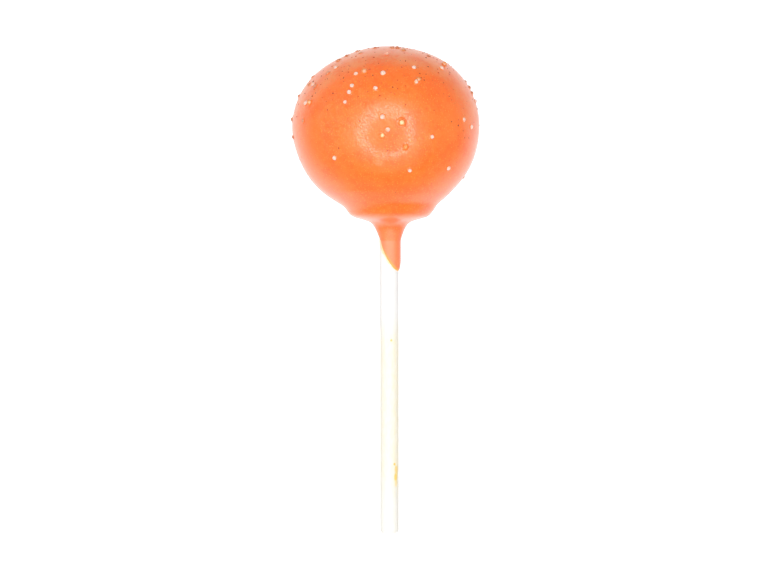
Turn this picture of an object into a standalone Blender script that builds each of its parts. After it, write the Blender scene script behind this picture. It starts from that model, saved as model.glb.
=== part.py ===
"""A cake pop: an iced ball of cake on a paper stick, lying on its side.

The pop is modelled upright, with the stick along Z and the widest section of the ball at Z = 0.
X is across the pop, and -Y is the side that faces up once it is laid down. All solids hang on one
empty, which tips the pop over until the ball and the free end of the stick touch the floor, Z = 0.
Units are metres.
"""

import math

import bpy
from mathutils import Vector

MM = 0.001

# The ball, whose crown is flatter than its belly
BALL_RADIUS = 20.4 * MM
CROWN_HEIGHT = 18.0 * MM
CROWN_FULLNESS = 0.02  # how much wider the crown's shoulder is than an ellipsoid's
BELLY_DEPTH = 19.7 * MM
BALL_OFFSET = -0.75 * MM  # the ball's widest section sits to one side of the stick
POLE_SHIFT = 0.55 * MM  # the crown and the belly lean back over the stick by this much
BALL_SEGMENTS = 60
BALL_RINGS = 30
# Lobes of the hand-rolled ball: how many around it, how deep, and where the first one points
BALL_LOBES = ((2, 0.004, 0.6), (3, 0.003, 2.1))

# The collar of icing that gathered under the ball, and the neck that runs down to the stick
COLLAR_OFFSET = 0.15 * MM
COLLAR_TOP = -14.0 * MM  # hidden inside the ball
COLLAR_SHOULDER = (11.0 * MM, -16.2 * MM)  # radius and height where its sloping side starts
COLLAR_ARC_CENTRE = (5.7 * MM, -16.05 * MM)
COLLAR_ARC_RADIUS = 4.3 * MM
COLLAR_ARC_ANGLES = (-26.0, -87.0)
COLLAR_ARC_STEPS = 9
NECK_TOP = -20.55 * MM
NECK_FLARE = 2.75 * MM  # how far the neck stands out from the sleeve at its top
NECK_LENGTH = 1.55 * MM  # the flare shrinks to a third over each such length
NECK_STEPS = 12
NECK_FOOT = -25.6 * MM
SLEEVE_RADIUS = 2.32 * MM  # icing round the stick below the neck
TURNED_SEGMENTS = 48

# The run of icing down one side of the stick: its lower edge lies in a slanted plane
DRIP_MIDDLE = -28.4 * MM
DRIP_SLOPE = 1.5
DRIP_AZIMUTH = 60.0  # degrees from -Y towards +X, the side where the icing ran lowest
SLEEVE_FOOT = -36.0 * MM  # the turned sleeve runs down to here before it is trimmed
TRIM_WIDTH = 6.2 * MM
CUTTER_FOOT = -40.0 * MM  # the trim and the socket reach down past the sleeve

# The rolled paper stick
STICK_RADIUS = 2.0 * MM
STICK_LENGTH = 90.0 * MM
STICK_FREE_END = -89.2 * MM
STICK_SEGMENTS = 32
STICK_END_ROUNDING = 0.65 * MM
STICK_END_STEPS = 3
SOCKET_GAP = 0.05 * MM  # keeps the stick's solid apart from the icing's
SOCKET_END_GAP = 0.3 * MM

# The flat spot that the ball rests on
REST_FLAT_DEPTH = 0.3 * MM
FLOOR_SLAB = 0.2
STEEPEST_TILT = math.pi / 4
TILT_HALVINGS = 40

SHARP_ANGLE = math.radians(40)
ICING_COLOUR = (0.95, 0.235, 0.052, 1.0)
PAPER_COLOUR = (0.93, 0.91, 0.86, 1.0)


def clear_scene():
    for obj in list(bpy.data.objects):
        bpy.data.objects.remove(obj, do_unlink=True)


def new_collection(name):
    collection = bpy.data.collections.new(name)
    bpy.context.scene.collection.children.link(collection)
    return collection


def new_material(name, colour, roughness):
    material = bpy.data.materials.new(name)
    material.use_nodes = True
    shader = material.node_tree.nodes["Principled BSDF"]
    shader.inputs["Base Color"].default_value = colour
    shader.inputs["Roughness"].default_value = roughness
    shader.inputs["Metallic"].default_value = 0.0
    return material


def adopt_active(name, collection, parent):
    """Names the object that an operator has just made, and moves it to its collection."""
    obj = bpy.context.active_object
    obj.name = name
    obj.data.name = name
    for other in list(obj.users_collection):
        other.objects.unlink(obj)
    collection.objects.link(obj)
    obj.parent = parent
    return obj


def make_helper(obj):
    """A cutter or a shape that is joined into another: the model doesn't show it."""
    obj.hide_render = True
    obj.display_type = "WIRE"
    return obj


def add_boolean(obj, operation, other):
    modifier = obj.modifiers.new(f"{operation.lower()}_{other.name}", "BOOLEAN")
    modifier.operation = operation
    modifier.solver = "EXACT"
    modifier.object = other


def ball_point(unit):
    """The place on the ball of a point on the unit sphere."""
    azimuth = math.atan2(unit.y, unit.x)
    girth = math.hypot(unit.x, unit.y)
    lobes = sum(depth * math.cos(count * azimuth + turn) for count, depth, turn in BALL_LOBES)
    shoulder = CROWN_FULLNESS * (2 * girth * unit.z) ** 2 if unit.z > 0 else 0.0
    radius = BALL_RADIUS * (1 + lobes * girth + shoulder)
    height = CROWN_HEIGHT if unit.z > 0 else BELLY_DEPTH
    shift = POLE_SHIFT * unit.z**2
    return Vector((unit.x * radius + shift, unit.y * radius, unit.z * height))


def add_ball(collection, parent):
    bpy.ops.mesh.primitive_uv_sphere_add(segments=BALL_SEGMENTS, ring_count=BALL_RINGS, radius=1)
    ball = adopt_active("coated_ball", collection, parent)
    for vertex in ball.data.vertices:
        vertex.co = ball_point(vertex.co)
    ball.location.x = BALL_OFFSET
    return ball


def collar_profile():
    """Radius and height of the collar, neck and sleeve, from the top down."""
    points = [(0.0, COLLAR_TOP), (COLLAR_SHOULDER[0], COLLAR_TOP), COLLAR_SHOULDER]
    first, last = (math.radians(angle) for angle in COLLAR_ARC_ANGLES)
    for step in range(COLLAR_ARC_STEPS + 1):
        angle = first + (last - first) * step / COLLAR_ARC_STEPS
        points.append(
            (
                COLLAR_ARC_CENTRE[0] + COLLAR_ARC_RADIUS * math.cos(angle),
                COLLAR_ARC_CENTRE[1] + COLLAR_ARC_RADIUS * math.sin(angle),
            )
        )
    for step in range(NECK_STEPS + 1):
        height = NECK_TOP + (NECK_FOOT - NECK_TOP) * step / NECK_STEPS
        flare = NECK_FLARE * math.exp((height - NECK_TOP) / NECK_LENGTH)
        points.append((SLEEVE_RADIUS + flare, height))
    points.append((SLEEVE_RADIUS, SLEEVE_FOOT))
    points.append((0.0, SLEEVE_FOOT))
    return points


def add_collar(collection, parent):
    """The collar, neck and sleeve, turned round the stick from one profile."""
    profile = collar_profile()
    mesh = bpy.data.meshes.new("collar_and_neck")
    edges = [(i, i + 1) for i in range(len(profile) - 1)]
    mesh.from_pydata([(radius, 0.0, height) for radius, height in profile], edges, [])
    collar = bpy.data.objects.new("collar_and_neck", mesh)
    collection.objects.link(collar)
    collar.parent = parent
    collar.location.x = COLLAR_OFFSET
    screw = collar.modifiers.new("turn", "SCREW")
    screw.axis = "Z"
    screw.steps = TURNED_SEGMENTS
    screw.render_steps = TURNED_SEGMENTS
    screw.use_merge_vertices = True
    screw.merge_threshold = 0.00001
    return make_helper(collar)


def add_stick(collection, parent):
    centre = STICK_FREE_END + STICK_LENGTH / 2
    bpy.ops.mesh.primitive_cylinder_add(
        vertices=STICK_SEGMENTS, radius=STICK_RADIUS, depth=STICK_LENGTH
    )
    stick = adopt_active("stick", collection, parent)
    stick.location.z = centre
    rounding = stick.modifiers.new("rounded_ends", "BEVEL")
    rounding.width = STICK_END_ROUNDING
    rounding.segments = STICK_END_STEPS
    rounding.limit_method = "ANGLE"
    rounding.angle_limit = SHARP_ANGLE
    return stick


def add_socket(collection, parent):
    """The blind hole that the stick leaves in the ball."""
    top = STICK_FREE_END + STICK_LENGTH + SOCKET_END_GAP
    bpy.ops.mesh.primitive_cylinder_add(
        vertices=STICK_SEGMENTS, radius=STICK_RADIUS + SOCKET_GAP, depth=top - CUTTER_FOOT
    )
    socket = adopt_active("stick_socket", collection, parent)
    socket.location.z = (top + CUTTER_FOOT) / 2
    return make_helper(socket)


def drip_edge_height(x, y):
    """Height of the slanted plane that the icing's lower edge lies in."""
    azimuth = math.radians(DRIP_AZIMUTH)
    downhill = x * math.sin(azimuth) - y * math.cos(azimuth)
    return DRIP_MIDDLE - DRIP_SLOPE * downhill


def add_drip_trim(collection, parent):
    """A column round the stick, with a slanted top, that takes away the sleeve below the drip."""
    bpy.ops.mesh.primitive_cube_add(size=TRIM_WIDTH)
    trim = adopt_active("drip_trim", collection, parent)
    for vertex in trim.data.vertices:
        edge = drip_edge_height(vertex.co.x, vertex.co.y)
        vertex.co.z = edge if vertex.co.z > 0 else CUTTER_FOOT
    return make_helper(trim)


def world_points(obj):
    """The object's evaluated vertices, in world space."""
    evaluated = obj.evaluated_get(bpy.context.evaluated_depsgraph_get())
    mesh = evaluated.to_mesh()
    points = [evaluated.matrix_world @ vertex.co for vertex in mesh.vertices]
    evaluated.to_mesh_clear()
    return points


def lay_down(pose, ball, stick):
    """Tips the pop over until the stick's end is as low as the ball's flat spot will be."""

    def set_tilt(tilt):
        pose.rotation_euler.x = tilt - math.pi / 2
        bpy.context.view_layer.update()

    def lowest(obj):
        return min(point.z for point in world_points(obj))

    low, high = 0.0, STEEPEST_TILT
    for _ in range(TILT_HALVINGS):
        tilt = (low + high) / 2
        set_tilt(tilt)
        if lowest(stick) > lowest(ball) + REST_FLAT_DEPTH:
            low = tilt
        else:
            high = tilt
    points = world_points(ball) + world_points(stick)
    for axis in (0, 1):
        values = [point[axis] for point in points]
        pose.location[axis] = -(min(values) + max(values)) / 2
    pose.location.z = -lowest(stick)
    bpy.context.view_layer.update()
    return tilt


def add_floor_slab(collection):
    """The floor, which takes the flat spot off the ball."""
    bpy.ops.mesh.primitive_cube_add(size=FLOOR_SLAB)
    slab = adopt_active("floor_slab", collection, None)
    slab.location.z = -FLOOR_SLAB / 2
    return make_helper(slab)


def shade_round(obj):
    obj.data.shade_smooth()
    obj.data.set_sharp_from_angle(angle=SHARP_ANGLE)


def build():
    clear_scene()
    pop = new_collection("cake_pop")
    cutters = new_collection("cutters")
    pose = bpy.data.objects.new("lying_pose", None)
    pop.objects.link(pose)

    ball = add_ball(pop, pose)
    stick = add_stick(pop, pose)
    tilt = lay_down(pose, ball, stick)
    print(f"the stick rises {math.degrees(tilt):.2f} degrees towards the ball")

    add_boolean(ball, "UNION", add_collar(cutters, pose))
    add_boolean(ball, "DIFFERENCE", add_socket(cutters, pose))
    add_boolean(ball, "DIFFERENCE", add_drip_trim(cutters, pose))
    add_boolean(ball, "DIFFERENCE", add_floor_slab(cutters))

    ball.data.materials.append(new_material("orange_icing", ICING_COLOUR, 0.35))
    stick.data.materials.append(new_material("white_paper", PAPER_COLOUR, 0.7))
    for obj in (ball, stick):
        shade_round(obj)


build()
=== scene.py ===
# %% [markdown]
# # A cake pop, from a plain solid to something good to eat
#
# A cake pop is a ball of cake crumb that was pushed onto a rolled paper stick and dipped in melted
# candy coating. While it hung upside down to set, the coating gathered in a collar round the stick
# and ran on down the paper. Sugar pearls were shaken over the crown before it set.
#
# This lesson lays the looks over them: a finely shaped coat, the pearls, the paper stick, and the
# light.

# %% Load the frame
import math

import bpy
import numpy as np
from mathutils import Matrix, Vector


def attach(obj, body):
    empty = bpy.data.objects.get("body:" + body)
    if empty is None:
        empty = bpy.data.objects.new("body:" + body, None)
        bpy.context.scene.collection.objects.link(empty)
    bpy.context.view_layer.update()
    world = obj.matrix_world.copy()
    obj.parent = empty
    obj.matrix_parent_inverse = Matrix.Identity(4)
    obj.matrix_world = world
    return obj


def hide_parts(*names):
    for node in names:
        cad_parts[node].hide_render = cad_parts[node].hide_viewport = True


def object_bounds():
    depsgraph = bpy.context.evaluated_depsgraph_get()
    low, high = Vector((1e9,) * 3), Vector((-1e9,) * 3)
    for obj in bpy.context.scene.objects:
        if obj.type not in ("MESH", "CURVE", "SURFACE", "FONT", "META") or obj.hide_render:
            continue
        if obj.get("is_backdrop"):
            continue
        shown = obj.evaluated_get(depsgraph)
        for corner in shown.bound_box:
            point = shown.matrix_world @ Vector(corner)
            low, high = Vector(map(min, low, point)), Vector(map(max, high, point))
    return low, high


MM = 0.001

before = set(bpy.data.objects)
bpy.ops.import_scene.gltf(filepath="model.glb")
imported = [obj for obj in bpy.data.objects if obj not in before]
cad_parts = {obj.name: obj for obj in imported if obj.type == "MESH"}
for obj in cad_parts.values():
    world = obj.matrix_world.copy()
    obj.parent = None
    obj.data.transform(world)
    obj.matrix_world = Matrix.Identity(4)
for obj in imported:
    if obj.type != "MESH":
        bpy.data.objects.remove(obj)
cad_low, cad_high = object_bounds()
box_sides = [round(side / MM, 1) for side in cad_high - cad_low]
print("solids:", sorted(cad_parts), "in a box of", box_sides, "mm")

# %% [markdown]
# ## Standing it up in the mind
#
# The pop lies on its side, and nothing about it is easy to describe that way. Upright it is simple:
# the stick is the Z axis, and every height is a distance along it. So each piece is modelled upright,
# with its front towards -Y, and laid down by one turn and one shift. Both come from the stick's own
# solid: the long direction of its points is the axis, and the ball's widest section lies a known way
# up from the free end.

# %% Find the stick's axis
STICK_REACH = 89.2 * MM  # from the stick's free end to the ball's widest section


def node_points(name):
    return np.array([vertex.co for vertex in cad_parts[name].data.vertices])


stick_points = node_points("stick")
stick_middle = (stick_points.min(0) + stick_points.max(0)) / 2
axis = np.linalg.eigh(np.cov((stick_points - stick_middle).T))[1][:, -1]
axis *= np.sign(axis[1])
across = np.array([1.0, 0.0, 0.0])
under = np.cross(axis, across)

along_stick = (stick_points - stick_middle) @ axis
stick_length = np.ptp(along_stick)
stick_radius = np.linalg.norm(stick_points - stick_middle - np.outer(along_stick, axis), axis=1).max()
widest = stick_middle + (STICK_REACH - stick_length / 2) * axis
lying = np.column_stack([across, under, axis])
print(f"the stick is {stick_length / MM:.1f} mm long and {2 * stick_radius / MM:.2f} mm thick")
print(f"it rises {math.degrees(math.asin(axis[2])):.1f} degrees towards the ball")

# %% Measure the ball upright
CROWN_SETTLING = 0.4 * MM  # the finely shaped crown stays a little below the plain solid's

ball_points = (node_points("coated_ball") - widest) @ lying
crown_top = ball_points[:, 2].max()
crown_height = crown_top - CROWN_SETTLING
ball_radius = np.ptp(ball_points[:, 0]) / 2
ball_offset = (ball_points[:, 0].max() + ball_points[:, 0].min()) / 2
print(f"the ball's radius is {ball_radius / MM:.2f} mm")
print(f"its crown is {crown_height / MM:.2f} mm above its widest section")
print(f"its middle is {ball_offset / MM:.2f} mm to the side of the stick")

# %% [markdown]
# ## Where to look from
#
# The pop is looked at square to the stick, from the side that faces up as it lies. The camera is as
# far off as a long lens needs to hold the whole pop, so hardly any of it is foreshortened.

# %% Camera
VIEW_LENS = 100
VIEW_SENSOR = 36
VIEW_SHAPE = 4 / 3
VIEW_FILL = 0.8433  # share of the view's height that the pop takes
VIEW_DROP = 0.08 * MM  # how far below the pop's middle the view is centred

view_distance = (crown_top + STICK_REACH) / VIEW_FILL * VIEW_SHAPE * VIEW_LENS / VIEW_SENSOR
view_height = (crown_top - STICK_REACH) / 2 - VIEW_DROP
camera_place = widest + lying @ np.array([ball_offset, -view_distance, view_height])
camera = bpy.data.objects.new("camera", bpy.data.cameras.new("camera"))
bpy.context.scene.collection.objects.link(camera)
camera.data.lens = VIEW_LENS
camera.data.sensor_width = VIEW_SENSOR
camera.location = camera_place.tolist()
camera.rotation_euler = Matrix(np.column_stack([across, axis, -under]).tolist()).to_euler()
bpy.context.scene.camera = camera
print(f"the camera is {view_distance:.3f} m away")

# %% [markdown]
# ## Writing materials as sums
#
# A finish is a sum of small facts: a little paler where a noise is high, rougher in the pits. Wiring
# that up node by node hides the thought behind it. So one small class wraps a socket and lets it be
# added and multiplied like a number, each time adding the Math node that does it. Everything else
# goes through one method that takes a kind of node, its settings, and what its sockets hold.

# %% Sockets that can be summed
class Value:
    """The output of a node, usable in sums."""

    def __init__(self, workbench, socket):
        self.workbench = workbench
        self.socket = socket

    def __add__(self, other):
        return self.workbench.maths("ADD", self, other)

    def __sub__(self, other):
        return self.workbench.maths("SUBTRACT", self, other)

    def __rsub__(self, other):
        return self.workbench.maths("SUBTRACT", other, self)

    def __mul__(self, other):
        return self.workbench.maths("MULTIPLY", self, other)

    def __truediv__(self, other):
        return self.workbench.maths("DIVIDE", self, other)

    __radd__ = __add__
    __rmul__ = __mul__


# %% Nodes from one method
class Workbench:
    """Adds nodes to one node tree."""

    def __init__(self, tree):
        self.tree = tree

    def node(self, kind, settings, sockets, output=0):
        made = self.tree.nodes.new("ShaderNode" + kind)
        for name, setting in settings.items():
            setattr(made, name, setting)
        for name, held in sockets.items():
            self.fill(made.inputs[name], held)
        return Value(self, made.outputs[output])

    def fill(self, socket, held):
        if isinstance(held, Value):
            self.tree.links.new(held.socket, socket)
        else:
            socket.default_value = held

    def maths(self, operation, *values):
        return self.node("Math", {"operation": operation}, dict(enumerate(values)))

    def mix(self, share, under, over):
        """One colour laid over another, as thickly as share says."""
        return self.node("Mix", {"data_type": "RGBA"}, {0: share, 6: under, 7: over}, 2)

    def step(self, value, start, end):
        """Rises smoothly from 0 where value is at start to 1 where it is at end."""
        return self.node(
            "MapRange",
            {"interpolation_type": "SMOOTHSTEP"},
            {"Value": value, "From Min": start, "From Max": end},
        )

    def noise(self, place, size, detail=2.0):
        """A cloudy pattern with lumps of about that size, between 0 and 1."""
        return self.node("TexNoise", {}, {"Vector": place, "Scale": 1 / size, "Detail": detail})

    def dots(self, place, spacing, radius):
        """1 inside dots that are strewn about one to each cell, 0 outside them."""
        sockets = {"Vector": place, "Scale": 1 / spacing}
        distance = self.node("TexVoronoi", {}, sockets, "Distance")
        return 1 - self.step(distance, 0.6 * radius / spacing, radius / spacing)


# %% A finish is a workbench for one material
lying_turn = Matrix(lying.tolist()).to_euler()


class Finish(Workbench):
    """One material. Its place is each point's place on the upright pop, in millimetres."""

    def __init__(self, name):
        self.material = bpy.data.materials.new(name)
        self.material.use_nodes = True
        super().__init__(self.material.node_tree)
        point = self.node("TexCoord", {}, {}, "Object")
        pose = {"Location": widest.tolist(), "Rotation": lying_turn, "Scale": (MM, MM, MM)}
        self.place = self.node("Mapping", {"vector_type": "TEXTURE"}, {"Vector": point, **pose})
        self.right, self.back, self.height = (
            self.node("SeparateXYZ", {}, {0: self.place}, side) for side in "XYZ"
        )

    def stretched(self, sideways, lengthways):
        """The place, squeezed so that a pattern on it comes out that many times longer."""
        scale = (1 / sideways, 1 / sideways, 1 / lengthways)
        return self.node("VectorMath", {"operation": "MULTIPLY"}, {0: self.place, 1: scale})

    def bump(self, height, depth):
        """A relief of that depth in millimetres, for heights between 0 and 1."""
        return self.node("Bump", {}, {"Height": height, "Distance": depth * MM})

    def shade(self, sockets):
        shader = self.tree.nodes["Principled BSDF"]
        for name, held in sockets.items():
            self.fill(shader.inputs[name], held)


print("the finishes are measured upright, turned by", [round(math.degrees(turn), 1) for turn in lying_turn])

# %% [markdown]
# ## Rings, and the skins between them
#
# Everything on a cake pop is roundish: the coat, the stick, each pearl. All of them can be made as a
# stack of closed rings, joined by quads and closed at both ends by a fan to one point. A sphere
# primitive would do for the pearls, but not for a coat whose lower edge runs on a slant, so one
# small function that takes any stack of rings serves them all.

# %% Skins from rings
def skin(rings, first_point, last_point):
    """Vertices and faces of a closed skin over rings, an array of (ring, point, xyz)."""
    count, around = rings.shape[:2]
    vertices = np.concatenate([rings.reshape(-1, 3), [first_point, last_point]])
    here = np.arange(around)
    beside = (here + 1) % around
    faces = []
    for ring in range(count - 1):
        low, high = ring * around, (ring + 1) * around
        faces += np.column_stack([high + here, high + beside, low + beside, low + here]).tolist()
    first, last = count * around, count * around + 1
    last_ring = (count - 1) * around
    faces += np.column_stack([np.full(around, first), here, beside]).tolist()
    faces += np.column_stack([np.full(around, last), last_ring + beside, last_ring + here]).tolist()
    return vertices, faces


def join(skins):
    """Several skins as the vertices and faces of one mesh."""
    vertices, faces, count = [], [], 0
    for points, polygons in skins:
        vertices.append(points)
        faces += [[corner + count for corner in polygon] for polygon in polygons]
        count += len(points)
    return np.concatenate(vertices), faces


def lay(name, vertices, faces, slot, finish):
    """A piece modelled upright, laid down where the pop lies, that moves with the pop."""
    mesh = bpy.data.meshes.new(name)
    mesh.from_pydata((vertices @ lying.T + widest).tolist(), [], faces)
    mesh.shade_smooth()
    mesh.materials.append(finish.material)
    piece = bpy.data.objects.new(name, mesh)
    bpy.context.scene.collection.objects.link(piece)
    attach(piece, "root")
    print(f"{name}: {sum(len(face) - 2 for face in faces)} triangles")
    return piece


# %% [markdown]
# ## The ball's form
#
# A ball rolled between the palms is never a sphere. This one is flatter at the crown than at the
# belly, a little fuller at the shoulder, and it leans off the stick. Under the coat the crumb is
# lumpy, and the coat smooths that to faint swells a centimetre apart, which only show in how the
# highlights bend. It could be sculpted by hand, but then nothing else would know where its surface is.
# A formula carries all of it: ellipse, lobes, and a few slow waves. Every pearl asks it for its place.

# %% The ball's surface
BELLY_DEPTH = 19.7 * MM
CROWN_FULLNESS = 0.02
CROWN_SHIFT = 0.85 * MM  # how far the crown leans to the right
BELLY_SHIFT = 0.55 * MM
BALL_LOBES = ((2, 0.004, 0.6), (3, 0.003, 2.1))  # how many around, how deep, where they start
BALL_CENTRE = ball_offset - 0.03 * MM
BALL_GIRTH = ball_radius - 0.07 * MM  # the lobes add the rest


def ball_tallness(height):
    return np.where(height > 0, crown_height, BELLY_DEPTH)


def ball_ring_radius(height, turn):
    """The ball's radius at a height, in a direction measured from the front towards the right."""
    rise = height / ball_tallness(height)
    girth = np.sqrt(np.clip(1 - rise**2, 0, 1))
    lobes = sum(deep * np.cos(count * (turn - math.pi / 2) + start) for count, deep, start in BALL_LOBES)
    shoulder = np.where(height > 0, CROWN_FULLNESS * (2 * girth * rise) ** 2, 0)
    return BALL_GIRTH * girth * (1 + lobes * girth + shoulder)


def ball_middle(height):
    """How far to the right of the stick the ball's section at a height is centred."""
    lean = np.where(height > 0, CROWN_SHIFT, BELLY_SHIFT)
    return BALL_CENTRE + lean * np.clip((height / ball_tallness(height)) ** 2, 0, 1)


# %% Swells, and a spot anywhere on the ball
SWELL_WAVES = 14
SWELL_LENGTHS = (8 * MM, 22 * MM)
SWELL_HEIGHT = 0.016 * MM

waves = np.random.default_rng(3)
wave_numbers = waves.normal(size=(SWELL_WAVES, 3))
wave_numbers /= np.linalg.norm(wave_numbers, axis=1)[:, None]
wave_numbers *= 2 * math.pi / waves.uniform(*SWELL_LENGTHS, (SWELL_WAVES, 1))
wave_starts = waves.uniform(0, 2 * math.pi, SWELL_WAVES)


def swell(points):
    """How far the crumb below lifts the coat at each point."""
    return SWELL_HEIGHT * np.sin(points @ wave_numbers.T + wave_starts).sum(-1)


def ball_spot(turn, rise):
    """A point on the coat and the direction out of it, for angles round and up in degrees."""
    turn, rise = math.radians(turn), math.radians(rise)
    tallness = crown_height if rise > 0 else BELLY_DEPTH
    height = math.sin(rise) * tallness
    facing = np.array([math.sin(turn), -math.cos(turn), 0])
    spot = facing * ball_ring_radius(height, turn) + [ball_middle(height), 0, height]
    out = facing * math.cos(rise) / ball_radius + [0, 0, math.sin(rise) / tallness]
    out /= np.linalg.norm(out)
    return spot + out * swell(spot), out


print("the front of the ball is", round(-float(ball_spot(0, 0)[0][1]) / MM, 2), "mm from the stick's axis")

# %% [markdown]
# ## The collar, the neck and the run
#
# Under the ball the coating stands out as a collar with a rounded underside, narrows to a neck, and
# runs down the stick as a thin sleeve. Turned on a lathe it would look machined, because the ball
# sits to one side of the stick: the collar has to grow out of it with a crease on the right and
# almost none on the left. Both are described as circles in the same slice, and a smooth maximum of
# the two radii melts them together, the way the warm coating did.

# %% The collar's outline
COLLAR_OFFSET = 0.12 * MM
SLEEVE_RADIUS = 2.31 * MM
SLEEVE_OFFSET = 0.16 * MM
OUTLINE = np.array([  # radius and height in millimetres, from inside the ball down to the sleeve
    (12.9, -14.5), (12.25, -15.1), (11.5, -15.8), (10.85, -16.4), (10.35, -17.0), (9.65, -18.1), (8.9, -19.1),
    (8.1, -19.8), (6.7, -20.15), (5.2, -20.45), (4.05, -21.05), (3.3, -22.1), (2.76, -23.4), (2.31, -24.8),
    (2.31, -36),
]) * MM
OUTLINE_SOFTNESS = 0.42 * MM  # the outline's corners are averaged over this much height, up and down


def collar_radius(height):
    """The collar's radius at a height, with its corners rounded by averaging nearby heights."""
    nearby = np.linspace(-1, 1, 9) * OUTLINE_SOFTNESS
    return np.mean([np.interp(height + step, OUTLINE[::-1, 1], OUTLINE[::-1, 0]) for step in nearby], axis=0)


print("the collar's radius halfway down:", round(float(collar_radius(-19 * MM)) / MM, 2), "mm")

# %% The lower edge of the run
EDGE_DEPTH = 28.15 * MM
EDGE_SLANT = 3.6 * MM
EDGE_BELLY = 0.12 * MM  # how much it sags halfway down the slant
EDGE_CLIMB = 0.8 * MM  # how much higher it ends on the left, where hardly any ran
EDGE_LOWEST = math.radians(62)  # the side where the coating ran furthest, from the front to the right
THIN_EDGE = 0.45 * MM  # how far up the coating is thinned at its edge
DRAWN_EDGE = 1.9 * MM  # and how much further on the right, where it was drawn out


def edge_height(turn):
    round_from_lowest = turn - EDGE_LOWEST
    sag = EDGE_SLANT * np.cos(round_from_lowest) - EDGE_BELLY * np.cos(2 * round_from_lowest)
    return EDGE_CLIMB * np.clip(-np.sin(turn), 0, 1) ** 4 - EDGE_DEPTH - sag


def above_edge(finish):
    """In a finish: how many millimetres a point on the sleeve is from the edge, square to the edge."""
    lowest = (math.sin(EDGE_LOWEST), math.cos(EDGE_LOWEST))
    radius, slant, belly, depth = SLEEVE_RADIUS / MM, EDGE_SLANT / MM, EDGE_BELLY / MM, EDGE_DEPTH / MM
    facing = (finish.right * lowest[0] - finish.back * lowest[1]) * (1 / radius)
    steepness = (finish.right * lowest[1] + finish.back * lowest[0]) * (slant / radius**2)
    on_left = finish.maths("MAXIMUM", finish.right * (-1 / radius), 0)
    climb = EDGE_CLIMB / MM * on_left * on_left * on_left * on_left
    straight = finish.height + slant * facing - 2 * belly * facing * facing + (belly + depth) - climb
    return straight / finish.maths("SQRT", 1 + steepness * steepness)


def edge_reach(turn):
    return THIN_EDGE + DRAWN_EDGE * np.clip(np.sin(turn), 0, 1) ** 3


print("the run ends at", [round(float(edge_height(turn)) / MM, 1) for turn in (-math.pi / 2, 0, EDGE_LOWEST)])

# %% [markdown]
# ## The coat
#
# The rings are spaced evenly along the outline, so that the collar's tight curves get as many as they
# need and the ball no more. Down the run they tilt step by step until the last one lies in the
# slanted edge, where the thickness falls to nothing in a quarter circle, as a drop's edge does on
# paper. Last, whatever would reach below the table is pressed flat: the pop has lain on its side.

# %% Circles that melt together
FILLET = 0.9 * MM  # how widely the ball and the collar melt together
LEFT_FILLET = 1.5 * MM  # and how much more widely at the front left
FRONT_SAG = 0.3 * MM  # how much lower the root of the neck hangs at the front
SAG_CHANGE = (-19.5 * MM, -20.5 * MM)
CENTRE_CHANGE = (-10 * MM, -16.5 * MM)  # where the rings' centres move from the ball's to the collar's
SLEEVE_CHANGE = (-22 * MM, -25 * MM)


def smooth_max(one, other, width):
    closeness = np.maximum(width - np.abs(one - other), 0) / width
    return np.maximum(one, other) + closeness**2 * width / 4


def smooth_step(value, start, end):
    share = np.clip((value - start) / (end - start), 0, 1)
    return share * share * (3 - 2 * share)


def circle_reach(radius, offset, turn):
    """How far a circle's rim is from a point, when the circle's middle is offset to the right of it."""
    return offset * np.sin(turn) + np.sqrt(np.maximum(radius**2 - (offset * np.cos(turn)) ** 2, 0))


def coat_points(heights, turns):
    """Points on the coat's outside, for arrays of heights and directions of the same shape."""
    lower = smooth_step(heights, *CENTRE_CHANGE)
    centre = ball_middle(heights) * (1 - lower) + COLLAR_OFFSET * lower
    sleeve = smooth_step(heights, *SLEEVE_CHANGE)
    offset = COLLAR_OFFSET * (1 - sleeve) + SLEEVE_OFFSET * sleeve
    ball = circle_reach(ball_ring_radius(heights, turns), ball_middle(heights) - centre, turns)
    ball = np.where(heights > -BELLY_DEPTH, ball, 0)
    sag = FRONT_SAG * np.clip(np.cos(turns), 0, 1) ** 2 * smooth_step(heights, *SAG_CHANGE)
    collar = circle_reach(collar_radius(heights + sag), offset - centre, turns)
    fillet = FILLET + LEFT_FILLET * np.clip(-np.sin(2 * turns), 0, 1)
    reach = np.where(heights > CENTRE_CHANGE[0], ball, smooth_max(ball, collar, fillet))
    return np.stack([centre + reach * np.sin(turns), -reach * np.cos(turns), heights], axis=-1)


# %% Rings down the coat
COAT_AROUND = 300
COAT_ROWS = 240
RUN_ROWS = 56
RUN_START = -21.6 * MM  # below here the rings follow the slant of the edge
CROWN_HOLE = 0.02  # radians from the top of the crown to its first ring


def even_heights(count):
    """Heights from the crown to the start of the run, evenly spaced along the outline."""
    crown = crown_height * np.cos(np.linspace(CROWN_HOLE, math.pi / 2, 400))
    heights = np.concatenate([crown, np.linspace(0, RUN_START, 2500)[1:]])
    steps = np.diff(coat_points(heights, np.zeros_like(heights)), axis=0)
    travelled = np.concatenate([[0], np.cumsum(np.linalg.norm(steps, axis=1))])
    return np.interp(np.linspace(0, travelled[-1], count), travelled, heights)


turns = np.linspace(0, 2 * math.pi, COAT_AROUND, endpoint=False)
upper_heights = np.repeat(even_heights(COAT_ROWS)[:, None], COAT_AROUND, axis=1)
down_run = 1 - (1 - np.linspace(0, 1, RUN_ROWS + 1)[1:, None]) ** 1.7
run_heights = RUN_START + down_run * (edge_height(turns) - RUN_START)
coat = coat_points(np.concatenate([upper_heights, run_heights]), np.tile(turns, (COAT_ROWS + RUN_ROWS, 1)))
print("coat rings:", coat.shape[0], "of", coat.shape[1], "points")

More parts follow.
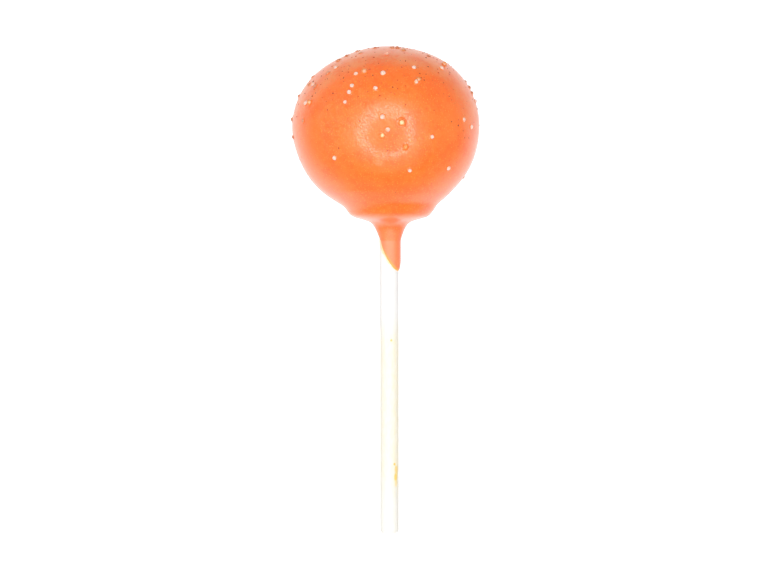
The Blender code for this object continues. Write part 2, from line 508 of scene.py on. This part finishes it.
# %% Thin the edge, swell the ball, press the underside flat
NEAR_STICK = 3.2 * MM
SWELLS_FADE = (-19 * MM, -15 * MM)  # the collar has none
stick_skin = stick_radius - 0.04 * MM  # the edge ends just inside the paper, so that no gap shows

nearness = 1 - np.clip((coat[:, :, 2] - edge_height(turns)) / edge_reach(turns), 0, 1)
thickness = np.sqrt(1 - nearness**2)
from_stick = np.linalg.norm(coat[:, :, :2], axis=2)
thinned = np.where(from_stick < NEAR_STICK, stick_skin + (from_stick - stick_skin) * thickness, from_stick)
coat[:, :, :2] *= (thinned / from_stick)[:, :, None]

outward = coat - [BALL_CENTRE, 0, 0]
outward /= np.linalg.norm(outward, axis=2)[:, :, None]
coat += outward * (swell(coat) * smooth_step(coat[:, :, 2], *SWELLS_FADE))[:, :, None]


def table_distance(points):
    return points @ lying[2] + widest[2] - cad_low.z


coat -= np.minimum(table_distance(coat), 0)[:, :, None] * lying[2]
print("the coat's lowest point:", round(float(table_distance(coat).min()) / MM, 3), "mm above the table")

# %% [markdown]
# ## Candy coating
#
# Candy coating is sugar and fat with a strong dye: an opaque, slightly waxy orange. Close up it isn't
# even. It is paler where it is thick, freckled with undissolved dye, and dotted with crumb that
# came off in the bowl, most of it on the crown, where a dusty bloom has formed too. The bloom is
# drawn only where the crown is seen aslant, and less on the right, so it is also a painted sheen.
# Down the neck and run the coat is paler where it is thin over the paper, and that paleness also
# stands in for the highlight there; a band under the collar is a painted highlight. The coat's gloss
# is soft and its surface has a fine grain, so a lamp is seen in it as a speckled glow. Where the last
# of it soaked into the paper it turned yellow. A flat picture wrapped round the ball would pinch at
# the crown. Noises that fill space don't, so the colour is a few of them laid over each other.

# %% The icing's colour
BODY = (0.94, 0.168, 0.013, 1)
DEEP = (0.92, 0.130, 0.008, 1)
YELLOW_GRAIN = (0.95, 0.28, 0.04, 1)
RED_DYE = (0.62, 0.07, 0.02, 1)
BLOOM_WITH_SHEEN = (0.86, 0.42, 0.21, 1)
CRUMB_SHADOW = (0.36, 0.09, 0.05, 1)
PALE_COAT_AND_HIGHLIGHT = (0.94, 0.32, 0.185, 1)
SOAKED = (0.93, 0.38, 0.075, 1)

icing = Finish("candy_coating")
patches = 0.6 * icing.noise(icing.place, 6.0, 3) + 0.4 * icing.noise(icing.place, 1.1, 3)
grain = icing.noise(icing.place, 0.28, 1)
colour = icing.mix(icing.step(patches, 0.36, 0.60), DEEP, BODY)
colour = icing.mix(0.40 * icing.step(grain, 0.50, 0.72), colour, YELLOW_GRAIN)
colour = icing.mix(0.9 * icing.dots(icing.place, 0.65, 0.15), colour, YELLOW_GRAIN)
colour = icing.mix(0.6 * icing.dots(icing.place, 2.1, 0.20), colour, RED_DYE)

# %% Bloom and painted sheen, crumb, thin coat and painted highlights, and the soaked edge
crown = icing.step(icing.height, 0, 12)
upper = icing.step(icing.height, -6, 5)
aslant = icing.node("LayerWeight", {}, {"Blend": 0.5}, "Facing")
clouds = icing.noise(icing.place, 0.7, 4) + icing.noise(icing.place, 3.0, 2)
dust = 0.55 + 0.9 * icing.step(clouds, 0.80, 1.2)
# The bloom is dust, but drawn only where seen aslant and less on the right, so it is also a painted sheen.
bloom_and_painted_sheen = upper * dust * 0.27 * icing.step(aslant, 0.34, 0.50) * (1 - 0.5 * icing.step(icing.right, 4, 16))
colour = icing.mix(bloom_and_painted_sheen, colour, BLOOM_WITH_SHEEN)
colour = icing.mix(0.8 * crown * icing.dots(icing.place, 1.5, 0.16), colour, CRUMB_SHADOW)

on_neck = 1 - icing.step(icing.height, -24.6, -20.6)
on_run = 1 - icing.step(icing.height, -25.3, -24.8)
# a painted highlight band on the collar's underside
root = icing.step(icing.height, -22.4, -21.3) * (1 - icing.step(icing.height, -20.1, -19.6))
run_left = 1 - icing.step(icing.right, 0.1, 1.6)
# paler where the coat is thin over the paper down the neck and run, which also stands in for the highlight
# there, plus the painted band under the collar
thin_coat_and_highlight = 0.45 * root + on_neck * (0.34 + on_run * (0.10 + 0.24 * run_left))
colour = icing.mix(thin_coat_and_highlight, colour, PALE_COAT_AND_HIGHLIGHT)
soaked = (1 - icing.step(above_edge(icing), 0.05, 0.85)) * (1 - icing.step(icing.height, -24, -22.5))
colour = icing.mix(0.9 * soaked, colour, SOAKED)

# %% The icing's gloss and grain
speckle = 0.04 + 1.15 * icing.step(grain, 0.43, 0.59)
smoothed = icing.step(aslant, 0.25, 0.65)  # seen aslant, the grain hides its own pits
gloss = speckle + smoothed * (0.55 - 0.33 * upper - speckle)
relief = 0.35 * grain + 0.3 * icing.noise(icing.place, 1.6, 2) + 0.9 * icing.noise(icing.place, 5.0, 1)
icing.shade(
    {
        "Base Color": colour,
        "Roughness": 0.28 + 0.12 * grain + 0.15 * on_neck,
        "Normal": icing.bump(relief, 0.040),
        "Subsurface Weight": 0.08,
        "Subsurface Radius": (1.0, 0.35, 0.12),
        "Subsurface Scale": 0.6 * MM,
        "Specular IOR Level": 0.47,
        "Coat Weight": gloss * (1 - 0.9 * on_neck * (1 - smoothed)),
        "Coat Roughness": 0.10,
    }
)
crown_point = coat[0].mean(0) + [0, 0, crown_height * (1 - math.cos(CROWN_HOLE))]
inside_stick = np.array([0, 0, coat[-1, :, 2].mean()])
icing_coat = lay("icing_coat", *skin(coat, crown_point, inside_stick), "icing", icing)
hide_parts("coated_ball")

# %% [markdown]
# ## Sugar pearls
#
# The pearls are sugar beads a millimetre across. Some stayed white, a few are clear amber, and those
# that went on first were dipped along with the ball and are brown with coating. On the shown side
# each has its own place, given as two angles: how far round from the front, and how far up. The rest
# are strewn by chance over the back, as thickly as on the front, and none lie where the ball touches
# the table. A particle system could strew them all, but it couldn't put one in a given place, and
# real meshes stay with the pop wherever it goes.

# %% Places of the pearls that show
PEARL_PLACES = {
    "white": (
        (-36, -23), (-26, 13), (-24, 20), (-23, 25), (-23, 35), (-3, 35), (-7, 22.5), (-2, 57), (21, 41),
        (20, 28), (48, 42), (-2, 2), (1, -6), (29, -10), (16.5, -32), (48, -29.5), (54.5, 2), (63.5, -2),
        (-47, 43), (-61, 29), (-60, 14.5), (82, 18),
    ),
    "amber": (
        (-17, 37), (9.5, -1.7), (-2, -9.5), (12, -16.5), (58, 47), (22, 30), (-55.5, 14.5),
    ),
    "dipped": (
        (-58, 52), (-56, 58), (-56, 66), (-28, 71), (-85, 22), (-87, 5), (-60.5, 2), (-82, -7), (-77, 37),
        (-70, 30), (-57, 27), (-36, 60), (86, 34), (84, 29), (80, 24), (-52, 38), (5, 72), (22, 66),
        (16, 72), (50, 57),
    ),
}
PEARL_SIZE = {"white": (0.92 * MM, 1.08 * MM), "amber": (1.05 * MM, 1.3 * MM), "dipped": (1.0 * MM, 1.3 * MM)}

LARGEST_PEARL = (9.5, -1.7)
LARGEST_SIZE = 1.55 * MM

strewing = np.random.default_rng(11)
pearls = {kind: [] for kind in PEARL_PLACES}
taken = []


def place_pearl(kind, turn, rise):
    spot, out = ball_spot(turn, rise)
    size = LARGEST_SIZE if (turn, rise) == LARGEST_PEARL else strewing.uniform(*PEARL_SIZE[kind])
    pearls[kind].append((spot, out, size))
    taken.append(spot)


for kind, places in PEARL_PLACES.items():
    for turn, rise in places:
        place_pearl(kind, turn, rise)
print("pearls on the shown side:", len(taken))

# %% Strew the rest
STREWN_TRIES = 2600
STREWN_KINDS = (("white", 0.62), ("amber", 0.10), ("dipped", 0.28))
STREWN_UPPER = 0.055  # share of the tries that stick, above the ball's widest section
STREWN_LOWER = 0.011
UPPER_FROM = -4  # degrees up
LOWER_FROM = -45
SHOWN_FACING = -0.1  # the cosine to the front above which a place can be seen
PEARL_SPACING = 1.6 * MM
TABLE_CLEARANCE = 3.5 * MM


def sticks_at(turn, rise, chance):
    """Whether a pearl thrown at random stays: not on the shown side, near another or under the ball."""
    facing = math.cos(math.radians(turn)) * math.cos(math.radians(rise))
    shown = facing > SHOWN_FACING
    wanted = STREWN_UPPER if rise > UPPER_FROM else STREWN_LOWER if rise > LOWER_FROM else 0
    spot = ball_spot(turn, rise)[0]
    spaced = min(np.linalg.norm(spot - other) for other in taken) > PEARL_SPACING
    return not shown and chance < wanted and spaced and table_distance(spot) > TABLE_CLEARANCE


for _ in range(STREWN_TRIES):
    turn = strewing.uniform(0, 360)
    rise = math.degrees(math.asin(strewing.uniform(-1, 1)))
    chance = strewing.random()
    kind = strewing.choice([kind for kind, _ in STREWN_KINDS], p=[share for _, share in STREWN_KINDS])
    if sticks_at(turn, rise, chance):
        place_pearl(str(kind), turn, rise)
print("pearls in all:", {kind: len(found) for kind, found in pearls.items()})

# %% [markdown]
# ## One pearl
#
# A sugar pearl is turned in a drum until it is nearly round, so each is a sphere, a little squashed
# and dented its own way. It sits about half sunk in the coat, which crept up around it as it set. That
# little rim of icing is a piece of its own, because the coat's rings are too far apart to hold it.

# %% Shape the pearls
PEARL_AROUND = 20
PEARL_ROWS = 11
# how far a pearl's middle is above the coat, in pearl sizes
SUNK = {"white": (-0.14, 0.04), "amber": (-0.06, 0.10), "dipped": (-0.25, -0.12)}
CREEP_AROUND = 24
CREEP_DIP = 0.30  # how deep the rim's hollow is, where the pearl sits in it, in pearl sizes
CREEP_ROOT = 0.45  # how deep the rim reaches into the coat
CREEP_OUTLINE = ((0.20, -CREEP_DIP), (0.46, 0.07), (0.53, 0.05), (0.61, 0.02), (0.72, -0.01), (0.84, -0.10))


def facing_frame(out):
    """Two directions along the surface and the direction out of it, as columns."""
    sideways = np.cross(out, (0.31, 0.42, 0.85))
    sideways /= np.linalg.norm(sideways)
    return np.column_stack([sideways, np.cross(out, sideways), out])


def turned_rings(outline, around):
    """Rings round the Z axis for (radius, height) pairs."""
    angles = np.linspace(0, 2 * math.pi, around, endpoint=False)
    circle = np.column_stack([np.cos(angles), np.sin(angles), np.zeros(around)])
    return np.array([circle * radius + [0, 0, height] for radius, height in outline])


bead_angles = np.linspace(0, math.pi, PEARL_ROWS + 2)[1:-1]
BEAD = turned_rings(list(zip(np.sin(bead_angles) / 2, np.cos(bead_angles) / 2)), PEARL_AROUND)


def pearl_skin(kind, spot, out, size):
    squash = strewing.uniform(0.80, 1.10, 3)
    turned = facing_frame(strewing.normal(size=3) / 1.7 + out)
    turned, _ = np.linalg.qr(turned)
    dents = 1 + 0.035 * np.sin(BEAD @ strewing.normal(scale=7, size=3) + strewing.uniform(0, 6))[..., None]
    centre = spot + out * size * strewing.uniform(*SUNK[kind])
    poles = (np.array([[0, 0, 0.5], [0, 0, -0.5]]) * squash) @ turned.T * size + centre
    return skin((BEAD * dents * squash) @ turned.T * size + centre, *poles)


def creep_skin(spot, out, size):
    stack = turned_rings(CREEP_OUTLINE, CREEP_AROUND)
    wobble = 1 + strewing.uniform(-0.05, 0.05) + 0.05 * np.sin(np.linspace(0, 2 * math.pi, CREEP_AROUND))
    stack[:, :, 2] *= wobble
    stack = stack @ facing_frame(out).T * size + spot
    return skin(stack, spot - out * size * CREEP_DIP, spot - out * size * CREEP_ROOT)


# %% [markdown]
# ## Three kinds of pearl
#
# White sugar is bright but not paper white: light goes into it and comes out warm, and here and there
# it caught a smear of icing. Its colour is pinker face-on and whiter at the rim seen aslant, a painted
# warm glow and a painted sheen. The amber ones are clear, so they show the icing behind them and a
# bright spark in front. Real glass would do that too, but beads this small would cost a lot of light
# paths, so they are opaque with a painted bright heart, duller high on the crown, and a painted dark
# rim where they are seen aslant. The dipped ones wear the coating, thin enough for the sugar's shadow
# to brown it.

# %% Pearl finishes
SHEEN_WHITE = (0.84, 0.665, 0.575, 1)
PINK_SUGAR = (0.80, 0.53, 0.43, 1)
ICED_SUGAR = (0.93, 0.36, 0.17, 1)
AMBER_HEART_GLOW = (0.86, 0.60, 0.32, 1)
DULL_HEART_GLOW = (0.68, 0.34, 0.20, 1)
AMBER_RIM = (0.82, 0.27, 0.06, 1)
BROWN_ICING = (0.55, 0.19, 0.10, 1)
ORANGE_ICING = (0.72, 0.31, 0.16, 1)

white_sugar = Finish("white_sugar")
dusting = white_sugar.step(white_sugar.noise(white_sugar.place, 0.5, 3), 0.40, 0.68)
rim = white_sugar.node("LayerWeight", {}, {"Blend": 0.5}, "Facing")
# pinker face-on and whiter at the rim seen aslant: a painted warm glow and a painted sheen
sugar_with_sheen = white_sugar.mix(white_sugar.step(rim - 0.2 * dusting, 0.0, 0.45), PINK_SUGAR, SHEEN_WHITE)
iced = white_sugar.step(white_sugar.noise(white_sugar.place, 0.8, 2), 0.54, 0.63)
white_sugar.shade(
    {
        "Base Color": white_sugar.mix(0.75 * iced, sugar_with_sheen, ICED_SUGAR),
        "Roughness": 0.30 + 0.25 * dusting,
        "Normal": white_sugar.bump(white_sugar.noise(white_sugar.place, 0.18, 2), 0.012),
        "Subsurface Weight": 0.35,
        "Subsurface Radius": (1.0, 0.6, 0.4),
        "Subsurface Scale": 0.3 * MM,
    }
)

amber_sugar = Finish("amber_sugar")
cloud = amber_sugar.noise(amber_sugar.place, 0.35, 2)
edge_on = amber_sugar.node("LayerWeight", {}, {"Blend": 0.5}, "Facing")
# The heart is a painted glow of light through the bead, duller higher up on the pop.
painted_heart = amber_sugar.mix(amber_sugar.step(amber_sugar.height, 1, 7), AMBER_HEART_GLOW, DULL_HEART_GLOW)
low_down = 1 - amber_sugar.step(amber_sugar.height, -5, -4)
painted_heart = amber_sugar.mix(low_down * (1 - amber_sugar.step(cloud, 0.52, 0.62)), painted_heart, AMBER_RIM)
amber_sugar.shade(
    {
        # a painted dark rim where the bead is seen aslant
        "Base Color": amber_sugar.mix(amber_sugar.step(edge_on + 0.5 * cloud, 0.28, 0.60), painted_heart, AMBER_RIM),
        "Roughness": 0.10 + 0.15 * cloud,
        "Normal": amber_sugar.bump(cloud, 0.015),
        "IOR": 1.5,
    }
)

dipped_icing = Finish("dipped_pearl_icing")
film = dipped_icing.noise(dipped_icing.place, 0.6, 3)
dipped_icing.shade(
    {
        "Base Color": dipped_icing.mix(dipped_icing.step(film, 0.38, 0.66), BROWN_ICING, ORANGE_ICING),
        "Roughness": 0.28 + 0.2 * film,
        "Normal": dipped_icing.bump(film, 0.03),
    }
)

# %% Lay the pearls
PEARL_FINISHES = {"white": white_sugar, "amber": amber_sugar, "dipped": dipped_icing}
PEARL_SLOTS = {"white": "pearl_sprinkles", "amber": "amber_sprinkles", "dipped": "pearl_sprinkles"}

for kind, found in pearls.items():
    skins = [pearl_skin(kind, *pearl) for pearl in found]
    lay(f"{kind}_pearls", *join(skins), PEARL_SLOTS[kind], PEARL_FINISHES[kind])
creeps = [creep_skin(*pearl) for found in pearls.values() for pearl in found]
lay("icing_creep", *join(creeps), "icing", icing)

# %% [markdown]
# ## Crumbs in the coat
#
# Bits of cake come off in the bowl and set in the coat as dark specks, a few tenths of a millimetre
# long, nearly all on the upper half. They lie almost flush. Dots in the coat's colour do for the
# finest, but on the ball's outline the larger ones stand proud. So each of those is an irregular bead
# with very few faces, pressed in until only its back shows.

# %% Strew the crumbs
CRUMB_TRIES = 2400
CRUMBS_CROWN = 0.22  # share of the tries that stick on the crown, which starts CROWN_RISE degrees up
CRUMBS_UPPER = 0.12
CRUMBS_LOWER = 0.02
CROWN_RISE = 18
CRUMB_SIZE = (0.16 * MM, 0.38 * MM)
LARGE_CRUMB = (0.30 * MM, 0.44 * MM)
CRUMB_AROUND = 7
CRUMB_OUTLINE = ((0.30, 0.20), (0.50, 0.04), (0.34, -0.16))

CRUMB_PLACES = (  # the largest on the shown side, as angles round and up
    (-19, 42), (-30, 37), (-25, 52), (-55, 19), (49, -2), (43, 0), (43, 18), (30, 7), (7, 22), (1, -19),
    (-31, -17), (-4, 17), (5, 18), (29, 35), (41, 37), (53, 37), (-32, 32), (7, 29), (54, -5), (-36, 20),
    (-10, 33), (-36, 55), (-40, 54), (-14, 52), (-52, 37), (-51, 28),
)

crumbling = np.random.default_rng(29)


def crumb_skin(turn, rise, sizes):
    spot, out = ball_spot(turn, rise)
    size = crumbling.uniform(*sizes)
    shape = turned_rings(CRUMB_OUTLINE, CRUMB_AROUND) * crumbling.uniform(0.75, 1.25, (3, CRUMB_AROUND, 1))
    shape[:, :, 0] *= crumbling.uniform(0.5, 1.0)
    turned = facing_frame(out) @ np.array(Matrix.Rotation(crumbling.uniform(0, math.pi), 3, "Z"))
    poles = np.array([[0, 0, 0.26], [0, 0, -0.22]]) @ turned.T
    return skin(shape @ turned.T * size + spot, *(poles * size + spot))


crumbs = [crumb_skin(turn, rise, LARGE_CRUMB) for turn, rise in CRUMB_PLACES]
for _ in range(CRUMB_TRIES):
    turn = crumbling.uniform(0, 360)
    rise = math.degrees(math.asin(crumbling.uniform(-1, 1)))
    wanted = CRUMBS_CROWN if rise > CROWN_RISE else CRUMBS_UPPER if rise > 0 else CRUMBS_LOWER
    if crumbling.random() < wanted and table_distance(ball_spot(turn, rise)[0]) > TABLE_CLEARANCE:
        crumbs.append(crumb_skin(turn, rise, CRUMB_SIZE))

DARK_CRUMB = (0.14, 0.035, 0.03, 1)
COATED_CRUMB = (0.58, 0.10, 0.035, 1)

cake_crumb = Finish("cake_crumb")
toasting = cake_crumb.noise(cake_crumb.place, 1.3, 2)
cake_crumb.shade(
    {
        "Base Color": cake_crumb.mix(cake_crumb.step(toasting, 0.36, 0.56), DARK_CRUMB, COATED_CRUMB),
        "Roughness": 0.45 + 0.3 * toasting,
        "Specular IOR Level": 0.15,
    }
)
print("crumbs:", len(crumbs))
lay("cake_crumbs", *join(crumbs), "crumbs", cake_crumb)

# %% [markdown]
# ## The paper stick
#
# A cake-pop stick is a strip of white paper, glued and rolled up tight. Its section is a spiral, so
# the last layer ends in a ledge as thin as the paper that runs the whole length. The end was crimped
# round, and looking at it one sees the layers wound about a pinhole. A cylinder has none of that, so
# the stick is a skin too: spiral rings along it, closing in over the end with the layers as relief.

# %% Shape the stick
STICK_AROUND = 96
STICK_ROWS = 80
PAPER = 0.06 * MM
SWOLLEN = 0.20 * MM  # the paper's left side is a little thicker near the coat, where fat crept into it
SWOLLEN_FROM = (-46 * MM, -40 * MM)
SEAM = math.radians(-45)  # where the last layer ends, from the front towards the right
CRIMP = 0.85 * MM
CRIMP_ROWS = 12
FACE_ROWS = 34
PINHOLE = 0.16 * MM
PINHOLE_DEPTH = 0.9 * MM
LAYER = 0.27 * MM  # the layers look thicker than the paper, because the crimp folds them
LAYER_RELIEF = 0.035 * MM

stick_turns = np.linspace(0, 2 * math.pi, STICK_AROUND, endpoint=False)
winding = 1 - ((stick_turns - SEAM) % (2 * math.pi)) / (2 * math.pi)
free_end = -STICK_REACH
hidden_end = stick_length - STICK_REACH


def stick_ring(radius, height):
    reach = np.broadcast_to(radius, STICK_AROUND)
    heights = np.broadcast_to(height, STICK_AROUND)
    return np.column_stack([reach * np.sin(stick_turns), -reach * np.cos(stick_turns), heights])


heights = np.linspace(hidden_end, free_end + CRIMP, STICK_ROWS)
leftness = np.clip(-np.sin(stick_turns), 0, 1) ** 3
swollen = SWOLLEN * smooth_step(heights, *SWOLLEN_FROM)[:, None] * leftness
spiral = stick_radius + PAPER * (0.5 - winding)
sides = [stick_ring(spiral + more, height) for height, more in zip(heights, swollen)]
crimp = []
for bend in np.linspace(0, math.pi / 2, CRIMP_ROWS)[1:]:
    drawn_in = CRIMP * (1 - math.cos(bend))
    crimp.append(stick_ring(spiral - drawn_in, free_end + CRIMP * (1 - math.sin(bend))))
face = []
for radius in np.linspace(stick_radius - CRIMP, PINHOLE, FACE_ROWS)[1:]:
    layers = 0.5 - 0.5 * np.cos(2 * math.pi * (radius / LAYER + winding))
    wound_in = radius - PAPER * winding * radius / stick_radius
    face.append(stick_ring(wound_in, free_end + LAYER_RELIEF * layers))
pinhole = [stick_ring(PINHOLE * 0.8, free_end + depth) for depth in (0.2 * MM, PINHOLE_DEPTH)]
stick_rings = np.array(sides + crimp + face + pinhole)
print("stick rings:", len(stick_rings))

# %% [markdown]
# ## Paper
#
# White paper, calendered smooth, with fibres running lengthways. Hands and icing have been at it: it
# is clean under the ball and warmer further down, with a yellow line where the coat's fat crept out
# beyond its edge, a wavering orange smear near the free end and one stray drop. They could be painted
# on an unrolled sheet. Here each stain is a distance from a place on the stick, roughened by a noise.
# The warm tint is also deeper over the right half and at the left edge: that part is painted shade.

# %% Stains on the paper, and painted shade at its sides
CLEAN_PAPER = (0.78, 0.775, 0.76, 1)
WARM_STAIN_AND_SHADE = (0.79, 0.715, 0.50, 1)
GREY_PAPER = (0.745, 0.73, 0.70, 1)
FAT_YELLOW = (0.86, 0.66, 0.30, 1)
ICING_SMEAR = (0.86, 0.58, 0.085, 1)

paper = Finish("rolled_paper")
fibres = paper.noise(paper.stretched(0.16, 2.6), 1.0, 3)
blotches = paper.step(paper.noise(paper.stretched(0.5, 1.4), 1.0, 4), 0.34, 0.66)
worn = (1 - paper.step(paper.height, -48, -40)) * (0.4 + 0.6 * paper.step(paper.height, -84, -74))
# warmer over the right half and at the left edge: painted shade on the round stick, on top of the stain from
# handling
right_edge_shade = paper.step(paper.right, -0.2, 1.7)
left_edge_shade = 1 - paper.step(paper.right, -1.7, -0.6)
warm_stain_and_edge_shade = worn * (0.44 + 0.42 * right_edge_shade + 0.20 * left_edge_shade) * (0.60 + 0.40 * blotches)
colour = paper.mix(warm_stain_and_edge_shade, CLEAN_PAPER, WARM_STAIN_AND_SHADE)
colour = paper.mix(0.30 * paper.step(fibres, 0.55, 0.8), colour, GREY_PAPER)

# %% The fat line, the smear and the stray drop
below_edge = -1.0 * above_edge(paper)
creep = below_edge + 0.9 * (paper.noise(paper.place, 0.7, 2) - 0.5)
colour = paper.mix(0.85 * (1 - paper.step(creep, 0.05, 0.65)), colour, FAT_YELLOW)

SMEAR = (  # right, height, half width, half length and strength of each daub, in millimetres
    (1.09, -73.9, 0.24, 0.32, 0.95),
    (1.48, -75.2, 0.34, 1.15, 0.75),
    (1.36, -76.7, 0.36, 0.90, 0.95),
    (1.40, -77.9, 0.30, 0.95, 0.5),
)
wander = 0.8 * (paper.noise(paper.place, 0.9, 3) - 0.5)
shown_side = 1 - paper.step(paper.back, -0.9, 0)
smear = 0.0
for right, height, width, length, strength in SMEAR:
    aside = (paper.right - right) * (1 / width)
    along = (paper.height - height) * (1 / length)
    reach = paper.maths("SQRT", aside * aside + along * along) + wander
    smear = paper.maths("MAXIMUM", smear, strength * (1 - paper.step(reach, 0.55, 1.35)))
colour = paper.mix(smear * shown_side, colour, ICING_SMEAR)

drop_place = (0.38, -1.96, -46.8)
from_drop = paper.node("VectorMath", {"operation": "DISTANCE"}, {0: paper.place, 1: drop_place}, "Value")
colour = paper.mix(0.8 * (1 - paper.step(from_drop, 0.16, 0.36)), colour, ICING_SMEAR)

# %% Lay the stick
paper.shade(
    {
        "Base Color": colour,
        "Roughness": 0.62 + 0.2 * fibres,
        "Normal": paper.bump(fibres, 0.02),
        "Specular IOR Level": 0.2,
        "Sheen Weight": 0.5,
        "Sheen Roughness": 0.6,
        "Subsurface Weight": 0.1,
        "Subsurface Radius": (1.0, 0.9, 0.8),
        "Subsurface Scale": 0.3 * MM,
    }
)
stick_closing = [np.array([0, 0, hidden_end]), np.array([0, 0, free_end + PINHOLE_DEPTH])]
paper_stick = lay("paper_stick", *skin(stick_rings, *stick_closing), "paper", paper)
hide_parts("stick")

# %% [markdown]
# ## A glowing table in a white tent
#
# Food is often shot on a sheet of white acrylic that is lit from below, inside a tent of white cloth,
# with a ring of lamps round the lens. That is why the background burns out to white, why the rims of
# the ball look dusted with light, and why a soft ring shows in its middle. A ring of area lights would
# do as well. Painting the tent and the lamps on the world, by the angle from where the lens stands,
# gives the ring an exact width in one node tree. The table glows a little of its own.

# %% Light
TENT_LEVEL = 0.57
HALO_LEVEL = 0.80  # what the ring adds just outside itself
RIGHT_WALL = 0.03  # how much darker on the right
LEFT_WALL = 0.27  # how much brighter the tent is on the left
RING_LEVEL = 4.4
HIGH_WALL = 0.11  # how much darker it is beyond the crown
LOW_WALL = 0.42  # how much darker it is beyond the stick's free end
INSIDE_LEVEL = 1.2
BRIGHTEST = 5.0

world = bpy.data.worlds.new("white_tent")
world.use_nodes = True
bpy.context.scene.world = world
tent = Workbench(world.node_tree)
direction = tent.node("TexCoord", {}, {}, "Generated")
to_lens = (camera_place - widest) / np.linalg.norm(camera_place - widest)


def towards(way):
    """The cosine between each direction of the world and one way."""
    way = (way / np.linalg.norm(way)).tolist()
    return tent.node("VectorMath", {"operation": "DOT_PRODUCT"}, {0: direction, 1: way}, "Value")


def disc(lower, aside, full, faded):
    """1 within full degrees of a point that is lower and to the right of the lens, 0 beyond faded."""
    middle = to_lens - math.tan(math.radians(lower)) * axis + math.tan(math.radians(aside)) * across
    away = tent.maths("ARCCOSINE", towards(middle)) * (180 / math.pi)
    return 1 - tent.step(away, full, faded)


walls = TENT_LEVEL + LEFT_WALL * tent.step(towards(-across), 0.1, 0.9)
walls = walls - RIGHT_WALL * tent.step(towards(across), 0.3, 0.9)
walls = walls - LOW_WALL * tent.step(towards(-axis), 0.2, 0.9)
walls = walls - HIGH_WALL * tent.step(towards(axis), 0.2, 0.9)
ring = disc(8, -0.5, 33, 40) + 0.8 * disc(52, -17, 1, 7)
inside = disc(10.5, -0.5, 21, 27)
halo = disc(12, 4, 34, 60)
glow = walls + HALO_LEVEL * halo + (RING_LEVEL - HALO_LEVEL - TENT_LEVEL) * ring
glow = glow - (RING_LEVEL - INSIDE_LEVEL) * inside
background = world.node_tree.nodes["Background"]
tent.fill(background.inputs["Color"], glow * (1 / BRIGHTEST))
background.inputs["Strength"].default_value = BRIGHTEST
print("the tent is lit to", RING_LEVEL, "in the ring and", TENT_LEVEL, "at its walls")

# %% Table
TABLE_HALF = 2.0
TABLE_WHITE = (0.24, 0.24, 0.24, 1)
TABLE_GLOW = 0.95
GLOW_ASIDE = (0.08, 0.08, 0.08, 1)  # what is left of the glow when seen along the table

corners = [(-1, -1), (1, -1), (1, 1), (-1, 1)]
corner_points = [(x * TABLE_HALF, y * TABLE_HALF, cad_low.z) for x, y in corners]
table_mesh = bpy.data.meshes.new("table")
table_mesh.from_pydata(corner_points, [], [(0, 1, 2, 3)])
table = bpy.data.objects.new("table", table_mesh)
bpy.context.scene.collection.objects.link(table)
table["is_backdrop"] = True
acrylic = Finish("lit_acrylic")
along_table = acrylic.step(acrylic.node("LayerWeight", {}, {"Blend": 0.5}, "Facing"), 0.32, 0.78)
acrylic.shade(
    {
        "Base Color": TABLE_WHITE,
        "Roughness": 0.7,
        "Emission Color": acrylic.mix(along_table, (1, 1, 1, 1), GLOW_ASIDE),
        "Emission Strength": TABLE_GLOW,
    }
)
table_mesh.materials.append(acrylic.material)
bpy.context.scene.view_settings.view_transform = "Standard"

# %% Sizes, and done
low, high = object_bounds()
beyond = [round((new - old) / MM, 2) for new, old in zip([*low, *high], [*cad_low, *cad_high])]
print("the looks differ from the solids' box by", beyond, "mm")
